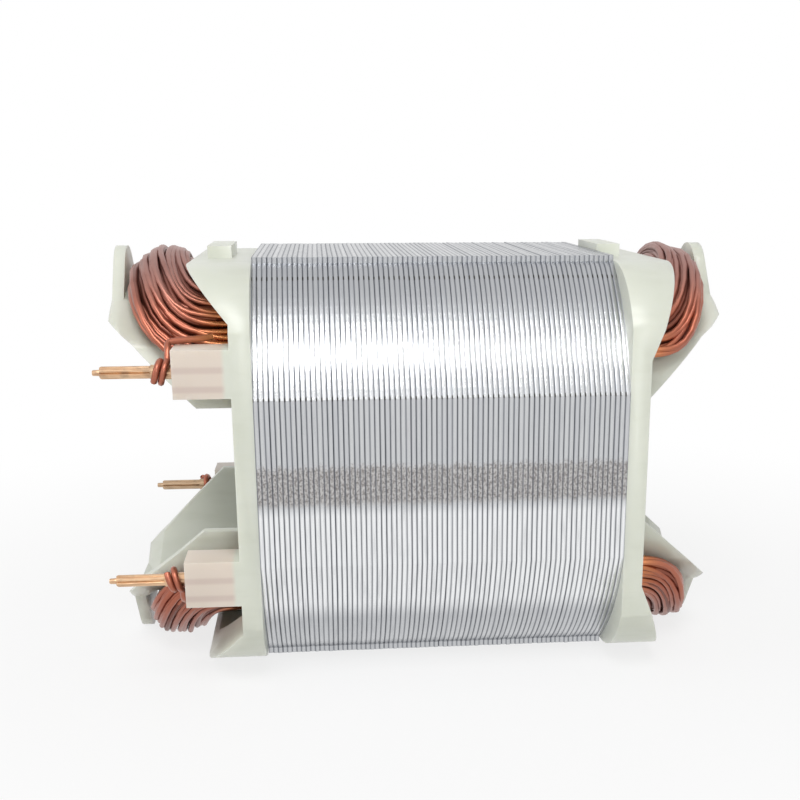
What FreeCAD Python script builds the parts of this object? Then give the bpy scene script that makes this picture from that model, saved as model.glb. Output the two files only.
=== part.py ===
"""Wound field stator of a two-pole universal motor.

A pack of punched sheets carries two poles that face each other across the armature bore. A moulded
insulator caps each end of the pack, paper liners line the slots, and one saddle-shaped field coil is
wound round each pole. Four terminal pins stand in pockets of one insulator, with a coil lead to each.

Frame: millimetres, origin on the bore axis halfway along the pack. +X runs along the bore from the
terminal end to the plain end, Y is across the sheet between the poles, +Z points to the upper pole.
"""
import FreeCAD, Part
import math
import os
import re

import Sketcher

os.makedirs("parts", exist_ok=True)

doc = FreeCAD.newDocument("field_stator")
Vector = FreeCAD.Vector
X_AXIS = Vector(1, 0, 0)
Z_AXIS = Vector(0, 0, 1)

SIZES = {
    # the punched sheet
    "sheet_thickness": 0.5,
    "sheet_count": 73,
    "corner_bulge": 1.47,
    "crown_reach": 13.0,
    "crown_drop": 1.72,
    "edge_groove": 0.07,
    "bore_radius": 14.2,
    "shoe_thickness": 2.5,
    "slot_depth": 3.2,
    "yoke_wall": 2.78,
    "core_reach": 6.5,
    "tip_height": 8.0,
    # paper in the slots
    "liner_thickness": 0.3,
    "liner_overhang": 1.2,
    # moulded ends: plate
    "plate_thickness": 2.0,
    "plate_drop": 0.56,
    "plate_shoulder": 5.9,
    "plate_corner": 10.5,
    # moulded ends: lips that carry the coil ends, each with a tongue
    "bore_relief": 0.2,
    "lip_wall": 1.2,
    "lip_corner": 1.8,
    "lip_tip_height": 6.4,
    "lip_slope": 6.6,
    "lip_nose_setback": 2.3,
    "lip_nose_height": 12.4,
    "terminal_end_lip": 14.9,
    "plain_end_lip": 12.6,
    "tongue_drop": 1.18,
    "tongue_foot": 6.0,
    "tongue_top": 3.0,
    # moulded ends: cuffs round the outside of the coil ends, each with a block
    "cuff_gap": 1.28,
    "cuff_rise": 1.9,
    "terminal_end_cuff": 6.3,
    "plain_end_cuff": 5.5,
    "terminal_end_cuff_low": 15.4,
    "plain_end_cuff_low": 11.5,
    "cuff_skirt": 11.0,
    "block_rise": 1.25,
    "block_reach": 5.0,
    "block_length": 2.5,
    "terminal_end_block": 2.4,
    "plain_end_block": 0.0,
    # terminal pockets and pins
    "pocket_length": 5.4,
    "pocket_height": 4.6,
    "pocket_width": 4.6,
    "pocket_wall": 0.9,
    "pocket_sunk": 3.6,
    "pin_height": 10.35,
    "pin_offset": 0.5,
    "pin_radius": 0.6,
    "pin_root_radius": 1.0,
    "pin_length": 7.6,
    "pin_shoulder": 2.1,
    "pin_root": 1.4,
    "pin_tip": 0.7,
    # windings
    "wire_diameter": 0.75,
    "lead_clearance": 0.05,
    "lead_lift": 0.18183,
    "coil_clearance": 0.1,
    "coil_core_gap": 6.9,
    "coil_mouth_gap": 2.4,
    "coil_tongue_gap": 0.5,
    "coil_bulge": 3.8,
    "flute_count": 12,
    "flute_depth": 0.1,
}

sheet = doc.addObject("Spreadsheet::Sheet", "Sizes")
for row, (name, number) in enumerate(SIZES.items(), start=1):
    sheet.set(f"A{row}", name)
    sheet.set(f"B{row}", str(number))
    sheet.setAlias(f"B{row}", name)
doc.recompute()


# ---------------------------------------------------------------- helpers

def bound(text):
    """The expression text with each size's name pointing at its cell in the sheet."""
    return re.sub(r"[a-z]\w*", lambda word: f"Sizes.{word[0]}" if word[0] in SIZES else word[0], text)


def value(text):
    """The number that an expression of the sizes comes to."""
    return float(sheet.evalExpression(text))


def tie(item, field, text):
    """Bind one property of an object to an expression of the sizes."""
    item.setExpression(field, bound(text))


def new_body(label):
    body = doc.addObject("PartDesign::Body", label)
    body.Label = label
    return body


def origin_item(body, role):
    """One of the body's own origin planes or axes."""
    return next(item for item in body.Origin.OriginFeatures if item.Role == role)


def short_arc(start, end, bend):
    """The short arc between two corners; a positive bend keeps its centre to the left of the way along."""
    chord = end - start
    side = Vector(-chord.y, chord.x, 0) / chord.Length
    offset = math.copysign(math.sqrt(bend**2 - (chord.Length / 2) ** 2), bend)
    centre = (start + end) * 0.5 + side * offset
    first, last = (start, end) if bend > 0 else (end, start)
    turns = [math.atan2(point.y - centre.y, point.x - centre.x) for point in (first, last)]
    return Part.ArcOfCircle(Part.Circle(centre, Z_AXIS, abs(bend)), *turns)


def end_on(edge, point):
    """Which end of a sketch edge, 1 or 2, lies on the point."""
    return 1 if edge.StartPoint.distanceToPoint(point) < 1e-6 else 2


def profile(body, name, plane, corners, lift=None):
    """A closed sketch through corners, each (across, up, radius of the arc to the next corner or None)."""
    sketch = body.newObject("Sketcher::SketchObject", name)
    sketch.AttachmentSupport = [(origin_item(body, plane), "")]
    sketch.MapMode = "FlatFace"
    if lift:
        tie(sketch, "AttachmentOffset.Base.z", lift)
    points = [Vector(value(across), value(up), 0) for across, up, _ in corners]
    for place, start in enumerate(points):
        bend = corners[place][2]
        end = points[(place + 1) % len(points)]
        line = Part.LineSegment(start, end)
        sketch.addGeometry(short_arc(start, end, value(bend)) if bend else line)
    edges = sketch.Geometry
    for place, (across, up, bend) in enumerate(corners):
        point = points[place]
        first = end_on(edges[place], point)
        before = (place - 1) % len(corners)
        join = Sketcher.Constraint("Coincident", before, end_on(edges[before], point), place, first)
        sketch.addConstraint(join)
        for axis, text in (("X", across), ("Y", up)):
            limit = Sketcher.Constraint(f"Distance{axis}", -1, 1, place, first, value(text))
            name_tied(sketch, limit, f"corner{place}{axis.lower()}", text)
        if bend:
            bend = bend.lstrip("-")
            name_tied(sketch, Sketcher.Constraint("Radius", place, value(bend)), f"bend{place}", bend)
    return sketch


def name_tied(sketch, constraint, name, text):
    """Add a dimension to a sketch, name it and bind it to an expression of the sizes."""
    sketch.renameConstraint(sketch.addConstraint(constraint), name)
    tie(sketch, f"Constraints.{name}", text)


def pad(body, name, sketch, length, two_sided=False):
    """A pad of a sketch along its normal, or half each way."""
    feature = body.newObject("PartDesign::Pad", name)
    feature.Profile = sketch
    feature.Midplane = two_sided
    tie(feature, "Length", length)
    return feature


def pocket(body, name, sketch, two_sided=True, length=None):
    """A cut of a sketch, right through unless a length is given."""
    feature = body.newObject("PartDesign::Pocket", name)
    feature.Profile = sketch
    feature.Midplane = two_sided
    if length:
        tie(feature, "Length", length)
    else:
        feature.Type = "ThroughAll"
    return feature


def doubled(body, name, features):
    """The same features again, turned half round the bore for the lower pole."""
    pattern = body.newObject("PartDesign::PolarPattern", name)
    pattern.Originals = features
    pattern.Axis = (origin_item(body, "X_Axis"), [""])
    pattern.Angle = 360
    pattern.Occurrences = 2
    body.Tip = pattern
    return pattern


def minus(text):
    """The expression with its sign turned over."""
    return text[2:-1] if text.startswith("-(") else f"-({text})"


def in_quarter(corners, side, up):
    """Corners of the first quarter of the section moved to another; each mirror turns the arcs over."""
    moved = []
    for across, height, bend in corners:
        across = minus(across) if side < 0 else across
        height = minus(height) if up < 0 else height
        moved.append((across, height, minus(bend) if bend and side * up < 0 else bend))
    return moved


def height_at(radius, reach):
    """The height of a circle about the bore axis at a sideways reach, or the reach at a height."""
    return f"sqrt(({radius})^2 - ({reach})^2)"


# ---------------------------------------------------------------- the pack of sheets

PACK_HALF = "sheet_thickness * sheet_count / 2"
SHOE_BACK = "(bore_radius + shoe_thickness)"
YOKE_BORE = f"({SHOE_BACK} + slot_depth)"
FLAT_REACH = f"({YOKE_BORE} + yoke_wall)"
ROUND_RADIUS = f"({FLAT_REACH} + corner_bulge)"
CROWN_HEIGHT = f"({FLAT_REACH} - crown_drop)"
CHORDS = 3


def sheet_rim(scale, along):
    """The corners of a sheet's rim: flats joined by the round corners, each laid out in chords."""
    reach = value(FLAT_REACH)
    crown = value("crown_reach")
    radius = value(ROUND_RADIUS)
    low = math.acos(reach / radius)
    high = math.acos(crown / radius)
    turns = [low + (high - low) * step / CHORDS for step in range(CHORDS + 1)]
    quarter = [(radius * math.cos(turn), radius * math.sin(turn)) for turn in turns]
    quarter.append((crown, value(CROWN_HEIGHT)))
    rim = []
    for side, up in ((1, 1), (-1, 1), (-1, -1), (1, -1)):
        corner = [Vector(along, side * across * scale, up * height * scale) for across, height in quarter]
        rim += corner if side == up else corner[::-1]
    return rim


def pack_blank():
    """One solid of all the sheets, with a shallow groove round it at each joint between two sheets."""
    thickness = value("sheet_thickness")
    start = -value(PACK_HALF)
    sunk = 1 - value(f"edge_groove / {ROUND_RADIUS}")
    rims = []
    for place in range(int(value("sheet_count"))):
        rims.append(sheet_rim(sunk, start + place * thickness))
        rims.append(sheet_rim(1, start + (place + 0.5) * thickness))
    rims.append(sheet_rim(sunk, -start))
    faces = [face_of(rims[0]), face_of(rims[-1])]
    for rim, following in zip(rims, rims[1:]):
        for place, corner in enumerate(rim):
            beside = (place + 1) % len(rim)
            faces.append(face_of([corner, rim[beside], following[beside], following[place]]))
    return Part.Solid(Part.Shell(faces))


def face_of(points):
    return Part.Face(Part.makePolygon(points + points[:1]))


def winding_window(bore, tip):
    """The opening between the poles: bore, shoe backs, cores and yoke, as corners round the section."""
    quarter = [
        ("core_reach", height_at(YOKE_BORE, "core_reach")),
        ("core_reach", height_at(SHOE_BACK, "core_reach")),
        (height_at(SHOE_BACK, tip), tip),
        (height_at(bore, tip), tip),
    ]
    corners = []
    for side, up in ((1, 1), (-1, 1), (-1, -1), (1, -1)):
        inward = side == up
        bends = [None, minus(SHOE_BACK), None, bore if inward else YOKE_BORE]
        points = quarter if inward else quarter[::-1]
        for (across, height), bend in zip(points, bends):
            corners.append((minus(across) if side < 0 else across, minus(height) if up < 0 else height, bend))
    return corners


window_body = new_body("winding_window")
window = profile(window_body, "window_outline", "YZ_Plane", winding_window("bore_radius", "tip_height"))
pad(window_body, "window_core", window, f"2 * ({PACK_HALF}) + 10", two_sided=True)
doc.recompute()

stack = doc.addObject("Part::Feature", "lamination_stack")
stack.Label = "lamination_stack"
stack.Shape = pack_blank().cut(window_body.Shape)


# ---------------------------------------------------------------- slot liners

QUARTERS = {"upper_near": (-1, 1), "upper_far": (1, 1), "lower_near": (-1, -1), "lower_far": (1, -1)}


def slot_liner(label, side, up):
    """A strip of paper folded to line one slot: along the shoe back, up the core and along the yoke."""
    mouth = "tip_height + liner_thickness"
    core = "core_reach + liner_thickness"
    shoe = f"{SHOE_BACK} + liner_thickness"
    yoke = f"{YOKE_BORE} - liner_thickness"
    walls = [
        (height_at(SHOE_BACK, mouth), mouth, SHOE_BACK),
        ("core_reach", height_at(SHOE_BACK, "core_reach"), None),
        ("core_reach", height_at(YOKE_BORE, "core_reach"), minus(YOKE_BORE)),
        (height_at(YOKE_BORE, mouth), mouth, None),
        (height_at(yoke, mouth), mouth, yoke),
        (core, height_at(yoke, core), None),
        (core, height_at(shoe, core), minus(shoe)),
        (height_at(shoe, mouth), mouth, None),
    ]
    body = new_body(label)
    section = profile(body, f"{label}_section", "YZ_Plane", in_quarter(walls, side, up))
    pad(body, f"{label}_strip", section, f"2 * ({PACK_HALF} + liner_overhang)", two_sided=True)
    return body


liners = [slot_liner(f"{quarter}_slot_liner", *signs) for quarter, signs in QUARTERS.items()]


# ---------------------------------------------------------------- moulded end insulators

PLATE_HEIGHT = f"({CROWN_HEIGHT} - plate_drop)"
PLATE_FLAT = f"({PLATE_HEIGHT} - plate_shoulder)"
CUFF_BORE = f"({FLAT_REACH} - cuff_gap)"
CUFF_ROOF = f"({CUFF_BORE} - cuff_rise)"
LIP_INSIDE = f"({SHOE_BACK} - lip_wall)"
TONGUE_HEIGHT = f"({FLAT_REACH} - tongue_drop)"


def plate_outline():
    """The plate's rim: upright sides, rounded corners, level top and bottom."""
    quarter = [(FLAT_REACH, PLATE_FLAT), ("crown_reach", PLATE_HEIGHT)]
    corners = []
    for side, up in ((1, 1), (-1, 1), (-1, -1), (1, -1)):
        for (across, height), bend in zip(quarter if side == up else quarter[::-1], ("plate_corner", None)):
            corners.append((minus(across) if side < 0 else across, minus(height) if up < 0 else height, bend))
    return corners


def end_insulator(end):
    """One moulded end, built with its back on the sheets at x = 0 and pointing along +X."""
    label = f"{end}_insulator"
    body = new_body(label)
    outline = profile(body, f"{label}_rim", "YZ_Plane", plate_outline())
    pad(body, f"{label}_plate", outline, "plate_thickness")
    add_cuff(body, label, end)
    outline = winding_window("(bore_radius + bore_relief)", "lip_tip_height")
    opening = profile(body, f"{label}_opening", "YZ_Plane", outline)
    pocket(body, f"{label}_window", opening)
    add_lip(body, label, f"{end}_lip")
    return body


def add_cuff(body, label, end):
    """The outer walls: a hood over each coil end, cut back on the slant, with a block on its crown."""
    length, low = f"{end}_cuff", f"{end}_cuff_low"
    foot = height_at(CUFF_BORE, "cuff_skirt")
    spring = height_at(CUFF_BORE, CUFF_ROOF)
    corners = [
        (FLAT_REACH, "cuff_skirt", None),
        (FLAT_REACH, PLATE_FLAT, "plate_corner"),
        ("crown_reach", PLATE_HEIGHT, None),
        (minus("crown_reach"), PLATE_HEIGHT, "plate_corner"),
        (minus(FLAT_REACH), PLATE_FLAT, None),
        (minus(FLAT_REACH), "cuff_skirt", None),
        (minus(foot), "cuff_skirt", minus(CUFF_BORE)),
        (minus(spring), CUFF_ROOF, None),
        (spring, CUFF_ROOF, minus(CUFF_BORE)),
        (foot, "cuff_skirt", None),
    ]
    section = profile(body, f"{label}_cuff_section", "YZ_Plane", corners)
    hood = pad(body, f"{label}_cuff", section, length)
    slant = [
        ("plate_thickness", "cuff_skirt - 1", None),
        (f"{length} + 1", "cuff_skirt - 1", None),
        (f"{length} + 1", PLATE_HEIGHT, None),
        (length, PLATE_HEIGHT, None),
        ("plate_thickness", low, None),
    ]
    cut = pocket(body, f"{label}_slant", profile(body, f"{label}_slant_side", "XZ_Plane", slant))
    crown = [
        ("block_reach", CUFF_ROOF, None),
        ("block_reach", f"{PLATE_HEIGHT} + block_rise", None),
        (minus("block_reach"), f"{PLATE_HEIGHT} + block_rise", None),
        (minus("block_reach"), CUFF_ROOF, None),
    ]
    crown_face = profile(body, f"{label}_block_face", "YZ_Plane", crown, lift=f"{end}_block")
    block = pad(body, f"{label}_block", crown_face, "block_length")
    doubled(body, f"{label}_cuffs", [hood, cut, block])


SLANT = "(sqrt(2) - 1)"


def add_lip(body, label, lip):
    """The inner walls: a trough under each coil end that runs out to a nose and turns up into a tongue."""
    corners = [
        ("0", LIP_INSIDE, None),
        (f"{lip} - lip_corner", LIP_INSIDE, None),
        (lip, f"{LIP_INSIDE} + lip_corner", None),
        (f"{lip} - lip_wall", f"{LIP_INSIDE} + lip_corner", None),
        (f"{lip} - lip_corner - lip_wall * {SLANT}", SHOE_BACK, None),
        ("0", SHOE_BACK, None),
    ]
    trough = body.newObject("PartDesign::Revolution", f"{label}_trough")
    trough.Profile = profile(body, f"{label}_trough_side", "XZ_Plane", corners)
    trough.ReferenceAxis = (origin_item(body, "X_Axis"), [""])
    trough.Midplane = True
    trough.Angle = 140
    nose = f"{lip} - lip_nose_setback"
    rise = "(lip_nose_height - lip_tip_height) / lip_slope"
    slope = [
        ("plate_thickness", "-1", None),
        (f"{lip} + 1", "-1", None),
        (f"{lip} + 1", f"lip_nose_height + (lip_nose_setback + 1) * {rise}", None),
        (f"{nose} - lip_slope", "lip_tip_height", None),
        ("plate_thickness", "lip_tip_height", None),
    ]
    cut = pocket(body, f"{label}_slope", profile(body, f"{label}_slope_side", "XZ_Plane", slope))
    face = [
        ("tongue_foot", f"{LIP_INSIDE} + lip_wall / 2", None),
        ("tongue_top", f"{TONGUE_HEIGHT} - tongue_top / 2", "tongue_top * 1.25"),
        (minus("tongue_top"), f"{TONGUE_HEIGHT} - tongue_top / 2", None),
        (minus("tongue_foot"), f"{LIP_INSIDE} + lip_wall / 2", None),
    ]
    tongue = pad(
        body,
        f"{label}_tongue",
        profile(body, f"{label}_tongue_face", "YZ_Plane", face, lift=f"{lip} - lip_wall"),
        "lip_wall",
    )
    doubled(body, f"{label}_lips", [trough, cut, tongue])


POCKET_END = "plate_thickness + pocket_length"
PIN_SHOULDER = f"{POCKET_END} + pin_shoulder"
PIN_END = f"{POCKET_END} + pin_length"
PIN_REACH = f"({FLAT_REACH} - pocket_width / 2)"
PIN_HEIGHTS = {1: "(pin_height + pin_offset)", -1: "(pin_height - pin_offset)"}


def add_pockets(body):
    """Four square pockets for the terminal pins, each with a hole in its floor for a pin's root."""
    for quarter, (side, up) in QUARTERS.items():
        block = in_quarter(rectangle(up, "pocket_width", "pocket_height"), side, up)
        block_face = profile(body, f"{quarter}_pocket_rim", "YZ_Plane", block, lift="plate_thickness")
        pad(body, f"{quarter}_pocket", block_face, "pocket_length")
        inner = rectangle(up, "pocket_width - 2 * pocket_wall", "pocket_height - 2 * pocket_wall")
        mouth = profile(body, f"{quarter}_mouth", "YZ_Plane", in_quarter(inner, side, up), lift=POCKET_END)
        pocket(body, f"{quarter}_cavity", mouth, two_sided=False, length="pocket_sunk")
        root = body.newObject("Sketcher::SketchObject", f"{quarter}_root")
        root.AttachmentSupport = [(origin_item(body, "YZ_Plane"), "")]
        root.MapMode = "FlatFace"
        tie(root, "AttachmentOffset.Base.z", f"{POCKET_END} - pocket_sunk")
        centre = Vector(side * value(PIN_REACH), up * value(PIN_HEIGHTS[up]), 0)
        root.addGeometry(Part.Circle(centre, Z_AXIS, value("pin_root_radius")))
        name_tied(root, Sketcher.Constraint("Radius", 0, value("pin_root_radius")), "pin", "pin_root_radius")
        for axis, sign, text in (("X", side, PIN_REACH), ("Y", up, PIN_HEIGHTS[up])):
            text = minus(text) if sign < 0 else text
            limit = Sketcher.Constraint(f"Distance{axis}", -1, 1, 0, 3, value(text))
            name_tied(root, limit, f"centre{axis.lower()}", text)
        pocket(body, f"{quarter}_root_hole", root, two_sided=False, length="pin_root")


def rectangle(up, width, tall):
    """A rectangle's corners about a pin's axis, in the first quarter."""
    height = PIN_HEIGHTS[up]
    near, far = f"{PIN_REACH} - ({width}) / 2", f"{PIN_REACH} + ({width}) / 2"
    low, high = f"{height} - ({tall}) / 2", f"{height} + ({tall}) / 2"
    return [(near, low, None), (far, low, None), (far, high, None), (near, high, None)]


terminal_end = end_insulator("terminal_end")
add_pockets(terminal_end)
tie(terminal_end, "Placement.Base.x", minus(PACK_HALF))
terminal_end.Placement.Rotation = FreeCAD.Rotation(Z_AXIS, 180)
plain_end = end_insulator("plain_end")
tie(plain_end, "Placement.Base.x", PACK_HALF)


# ---------------------------------------------------------------- terminal pins

def terminal_pin(label, side, up):
    """A round pin, thicker up to its shoulder, with a coned tip; built along +X and turned to its end."""
    body = new_body(label)
    root = f"{POCKET_END} - pocket_sunk - pin_root"
    corners = [
        (root, "0", None),
        (PIN_END, "0", None),
        (PIN_END, "pin_radius / 2", None),
        (f"{PIN_END} - pin_tip", "pin_radius", None),
        (PIN_SHOULDER, "pin_radius", None),
        (PIN_SHOULDER, "pin_root_radius", None),
        (root, "pin_root_radius", None),
    ]
    turned = body.newObject("PartDesign::Revolution", f"{label}_turned")
    turned.Profile = profile(body, f"{label}_half_section", "XZ_Plane", corners)
    turned.ReferenceAxis = (origin_item(body, "X_Axis"), [""])
    turned.Angle = 360
    body.Placement.Rotation = FreeCAD.Rotation(Z_AXIS, 180)
    tie(body, "Placement.Base.x", minus(PACK_HALF))
    tie(body, "Placement.Base.y", PIN_REACH if side > 0 else minus(PIN_REACH))
    tie(body, "Placement.Base.z", PIN_HEIGHTS[up] if up > 0 else minus(PIN_HEIGHTS[up]))
    return body


pins = [terminal_pin(f"{quarter}_terminal_pin", *signs) for quarter, signs in QUARTERS.items()]


# ---------------------------------------------------------------- field coils

END_STEPS = 4


def coil_wall(start, across, deep, sweep, reach):
    """A point of the coil: across 0..1 from core to slot mouth, deep 0..1 outwards, sweep 0..90 degrees."""
    inner = value(f"{SHOE_BACK} + liner_thickness + coil_clearance")
    outer = value(f"{YOKE_BORE} - liner_thickness - coil_clearance")
    slot_radius = inner + deep * (outer - inner)
    near = math.asin(value("core_reach + liner_thickness + coil_clearance") / slot_radius)
    far = math.acos(value("tip_height + liner_thickness + coil_mouth_gap") / slot_radius)
    left = math.cos(math.radians(sweep))
    shoulder = (1 - left ** 3) ** 2 * (0.55 + 0.45 * across)
    sag = 1 - 0.9 * across ** 1.5 * (1 - left ** 2) ** 4
    radius = slot_radius + deep * value("coil_bulge") * shoulder * sag
    along = start + (reach[0] + (reach[1] - reach[0]) * across) * (1 - left ** 3) ** (1 / 3)
    return along, (near + (far - near) * across) * left, radius


def coil_section(station):
    """One closed ring of the coil's strand-like flutes at a station (end sign, slot side, sweep)."""
    end, side, sweep = station
    start = value(f"{PACK_HALF} + plate_thickness + coil_clearance")
    lip = value("terminal_end_lip" if end < 0 else "plain_end_lip")
    foot = start - value(PACK_HALF)
    reach = (value("coil_core_gap") - foot, lip - value("lip_wall + coil_tongue_gap") - foot)
    flutes = int(value("flute_count"))
    ring = []
    for place in range(2 * flutes):
        turn = math.pi * place / flutes
        swell = 1 - (place % 2) * value("flute_depth")
        across = 0.5 + 0.5 * swell * math.copysign(abs(math.cos(turn)) ** 0.6, math.cos(turn))
        deep = 0.5 + 0.5 * swell * math.copysign(abs(math.sin(turn)) ** 0.6, math.sin(turn))
        along, angle, radius = coil_wall(start, across, deep, sweep, reach)
        ring.append(Vector(end * along, side * radius * math.sin(angle), radius * math.cos(angle)))
    return ring


def coil_loop():
    """The upper coil as a closed shell of flat triangles: along one slot, round an end and back."""
    sweeps = [90 * step / END_STEPS for step in range(END_STEPS + 1)]
    stations = []
    for end, first in ((1, -1), (-1, 1)):
        stations += [(end, first, sweep) for sweep in sweeps]
        stations += [(end, -first, sweep) for sweep in sweeps[-2::-1]]
    rings = [coil_section(station) for station in stations]
    faces = []
    for ring, following in zip(rings, rings[1:] + rings[:1]):
        for place, corner in enumerate(ring):
            beside = place + 1 - len(ring)
            faces.append(face_of([corner, ring[beside], following[beside]]))
            faces.append(face_of([corner, following[beside], following[place]]))
    solid = Part.Solid(Part.Shell(faces))
    if solid.Volume < 0:
        solid.reverse()
    return solid


coils = []
for label, roll in (("upper_field_coil", 0), ("lower_field_coil", 180)):
    coil = doc.addObject("Part::Feature", label)
    coil.Label = label
    coil.Shape = coil_loop()
    coil.Placement = FreeCAD.Placement(Vector(), FreeCAD.Rotation(X_AXIS, roll))
    coils.append(coil)


# ---------------------------------------------------------------- coil leads

def coil_lead(label, side, up):
    """Winding wire from a coil's shoulder over the end of its pocket and down the front of the pin."""
    radius = value("wire_diameter") / 2
    pin_level = value(PIN_HEIGHTS[up])
    above = pin_level + value("pocket_height / 2 + lead_clearance") + radius
    front = value(f"{PIN_REACH} + pin_root_radius + lead_clearance") + radius
    foot = value(f"({YOKE_BORE} + lead_lift) * sqrt(1 / 2)")
    out = value(POCKET_END)
    course = [
        (out - 2 * radius, foot, foot),
        (out + radius / 2, value(f"{PIN_REACH} - pocket_width / 2"), above + radius / 2),
        (out + 2 * radius, value(PIN_REACH), above),
        (out + 3 * radius, front, pin_level + 3 * radius),
        (out + 3 * radius, front, pin_level - 2 * radius),
    ]
    start = -value(PACK_HALF)
    points = [Vector(start - along, side * across, up * height) for along, across, height in course]
    path = Part.makePolygon(points)
    rim = Part.Wire(Part.makeCircle(radius, points[0], points[1] - points[0]))
    lead = doc.addObject("Part::Feature", label)
    lead.Label = label
    lead.Shape = path.makePipeShell([rim], True, False, 1)
    return lead


leads = [coil_lead(f"{quarter}_coil_lead", *signs) for quarter, signs in QUARTERS.items()]


# ---------------------------------------------------------------- checks and export

doc.recompute()
pieces = [stack, terminal_end, plain_end, *coils, *liners, *pins, *leads]
for item in doc.Objects:
    if {"Invalid", "Error"} & set(item.State):
        raise RuntimeError(f"{item.Label} did not build: {item.State}")

for piece in pieces:
    shape = piece.Shape
    if shape.isNull() or not shape.isValid() or len(shape.Solids) != 1:
        raise RuntimeError(f"{piece.Label} is not one valid solid")
    shape.exportStep(f"parts/{piece.Label}.step")
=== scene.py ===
import math

import bmesh
import bpy
import numpy as np
from mathutils import Euler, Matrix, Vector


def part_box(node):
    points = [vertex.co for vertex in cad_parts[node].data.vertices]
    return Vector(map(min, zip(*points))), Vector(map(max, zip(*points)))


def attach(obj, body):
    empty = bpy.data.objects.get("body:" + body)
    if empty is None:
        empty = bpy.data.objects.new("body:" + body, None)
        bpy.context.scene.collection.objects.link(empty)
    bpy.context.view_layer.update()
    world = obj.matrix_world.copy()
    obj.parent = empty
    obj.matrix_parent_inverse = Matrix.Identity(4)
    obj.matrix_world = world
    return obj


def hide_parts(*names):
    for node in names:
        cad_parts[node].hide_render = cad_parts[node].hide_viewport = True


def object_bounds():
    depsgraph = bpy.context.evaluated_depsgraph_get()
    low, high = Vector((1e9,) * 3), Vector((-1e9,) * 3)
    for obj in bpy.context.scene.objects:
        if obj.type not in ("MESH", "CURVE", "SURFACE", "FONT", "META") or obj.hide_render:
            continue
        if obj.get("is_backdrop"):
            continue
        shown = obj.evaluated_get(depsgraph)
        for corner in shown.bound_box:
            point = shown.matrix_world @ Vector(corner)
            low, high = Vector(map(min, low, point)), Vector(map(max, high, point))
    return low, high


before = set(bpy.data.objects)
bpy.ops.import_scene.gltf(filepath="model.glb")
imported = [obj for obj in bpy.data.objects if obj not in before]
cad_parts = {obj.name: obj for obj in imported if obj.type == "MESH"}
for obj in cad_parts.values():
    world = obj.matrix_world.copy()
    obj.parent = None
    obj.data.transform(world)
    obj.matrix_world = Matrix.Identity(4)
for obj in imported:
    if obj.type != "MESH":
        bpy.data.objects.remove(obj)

bl_info = {
    "name": "Field Stator Looks",
    "version": (1, 0, 0),
    "blender": (4, 5, 0),
    "location": "View3D > Sidebar > Stator",
    "description": "Builds the sheets, windings, terminals and finishes of a two-pole field stator",
    "category": "Object",
}

MM = 0.001
FRAME_LOW, FRAME_HIGH = (np.array(corner, dtype=float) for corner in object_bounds())
PACK_HALF = float(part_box("lamination_stack")[1][0])
LIP_LOW = float(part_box("terminal_end_insulator")[0][0])

# each quarter's side of the middle plane and its pole
QUARTERS = {"upper_near": (-1, 1), "upper_far": (1, 1),
            "lower_near": (-1, -1), "lower_far": (1, -1)}

# a sheet's edge: share of the way across the sheet, share of the groove's depth
EDGE_PROFILE = np.array([(0.0, 1.0), (0.1, 0.25), (0.3, 0.0), (0.62, 0.08), (0.9, 0.35)])
# steps in a quarter of the rim: over the core, to the riser, up it, round the corner, down the flat
RIM_STEPS = (4, 4, 1, 16, 5)
# steps in each arc of the window
ARC_STEPS = 8
SHEET_SEED = 11

# points along a wire on a leg and on a turn, and round it
LEG_POINTS, TURN_POINTS = 6, 26
WIRE_SIDES = 8
COIL_SEED = 31

FLOOR_HALF = 4.0
SENSOR_WIDTH = 36
CAMERA_SHIFT = (-0.063, 0.2045)

# name, place, turn in degrees, size, multiple of the lamps' power
LIGHTS = (("key_light", (-0.05, -0.27, 0.36), (37, -6, 0), 0.20, 1.9),
          ("front_light", (0.06, -0.45, 0.13), (74, 8, 0), 0.10, 0.5),
          ("left_light", (-0.42, -0.1, 0.16), (0, -66, 0), 0.22, 0.5))


# ---------------------------------------------------------------- meshes

def add_mesh(name, points, faces, smooth=True, marks=None):
    """A mesh object from an array of points, a list of face index arrays, and point attributes."""
    mesh = bpy.data.meshes.new(name)
    loops = np.concatenate([np.asarray(block).ravel() for block in faces])
    sizes = np.concatenate([np.full(len(block), np.asarray(block).shape[1]) for block in faces])
    starts = np.concatenate([[0], np.cumsum(sizes)[:-1]])
    mesh.vertices.add(len(points))
    mesh.vertices.foreach_set("co", np.asarray(points, dtype=np.float32).ravel())
    mesh.loops.add(len(loops))
    mesh.loops.foreach_set("vertex_index", loops.astype(np.int32))
    mesh.polygons.add(len(sizes))
    mesh.polygons.foreach_set("loop_start", starts.astype(np.int32))
    mesh.polygons.foreach_set("use_smooth", np.full(len(sizes), smooth))
    for mark, values in (marks or {}).items():
        layer = mesh.attributes.new(mark, "FLOAT", "POINT")
        layer.data.foreach_set("value", np.asarray(values, dtype=np.float32).ravel())
    mesh.update(calc_edges=True)
    mesh.validate()
    piece = bpy.data.objects.new(name, mesh)
    bpy.context.scene.collection.objects.link(piece)
    return piece


def grid_faces(rows, columns, first=0, closed_rows=False, closed_columns=False):
    """Quads between neighbouring points of a grid, wrapped where it is closed.

    The point at a row and a column has the index row times columns plus column, plus the first."""
    row = np.arange(rows if closed_rows else rows - 1)[:, None]
    column = np.arange(columns if closed_columns else columns - 1)[None, :]
    after_row = (row + 1) % rows
    after_column = (column + 1) % columns
    quads = [row * columns + column, row * columns + after_column,
             after_row * columns + after_column, after_row * columns + column]
    return np.stack(np.broadcast_arrays(*quads), axis=-1).reshape(-1, 4) + first


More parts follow.
